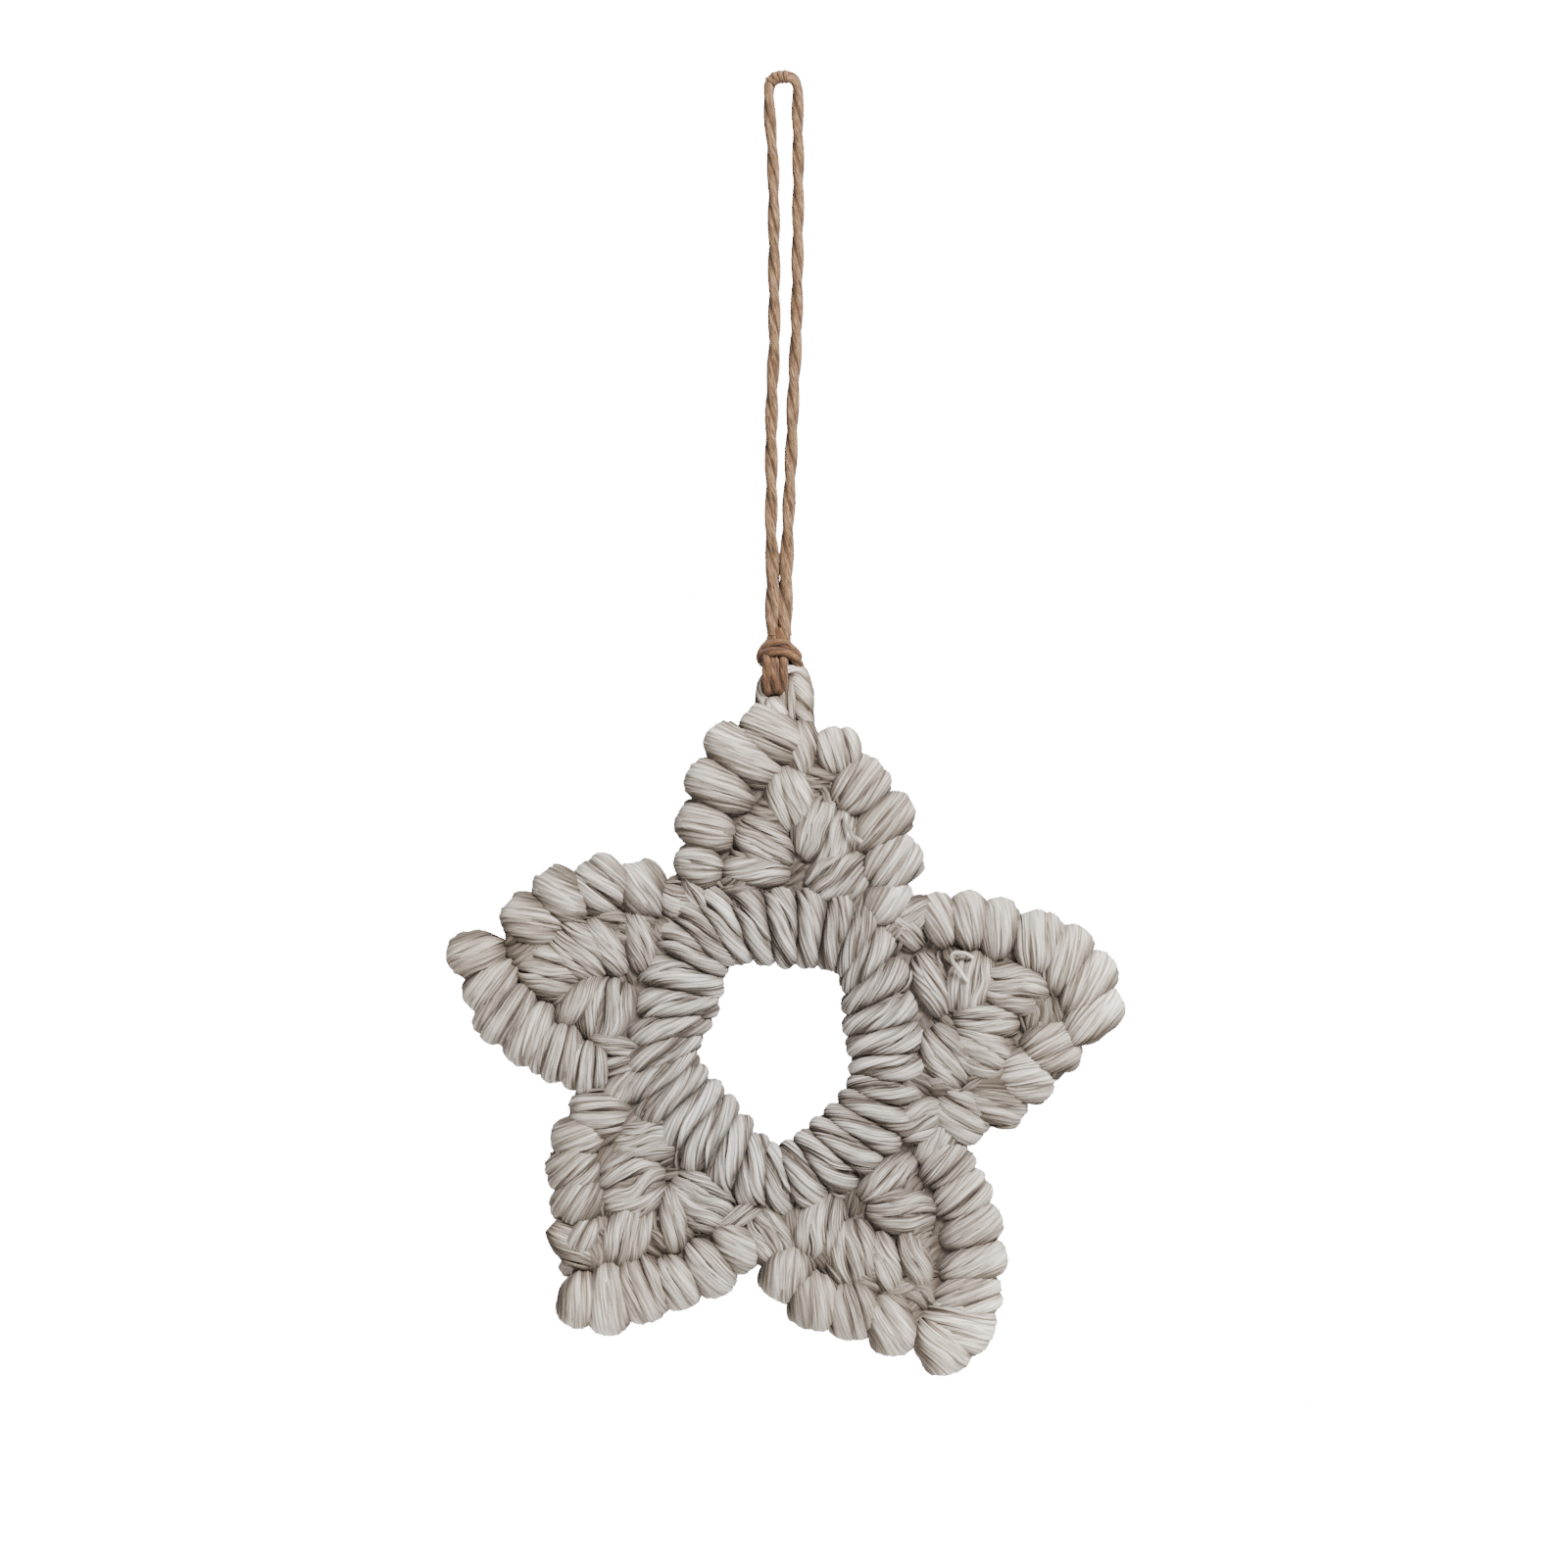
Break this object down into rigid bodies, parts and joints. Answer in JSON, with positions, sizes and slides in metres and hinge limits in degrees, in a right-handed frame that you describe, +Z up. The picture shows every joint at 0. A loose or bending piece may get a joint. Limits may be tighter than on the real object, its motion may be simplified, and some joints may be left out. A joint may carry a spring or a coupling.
{
  "type": "christmas star ornament",
  "caption": "Crocheted cotton star with a wrapped open ring in the middle and plump stitched points, hung by a cotton eye from a knotted loop of jute twine.",
  "frame": {"origin": "the inside of the top of the jute loop, where a twig, hook or finger holds it", "axes": "+Z up, along the hanging loop; the star's front faces -Y, and +X is to its right as seen from the front"},
  "size_m": [0.1251, 0.0108, 0.2394],
  "materials": {
    "cotton": "matte off-white cotton cord",
    "jute": "matte natural jute twine"
  },
  "bodies": {
    "root": {"crochet_star": "cotton", "jute_knot": "jute", "jute_loop": "jute"}
  },
  "joints": []
}
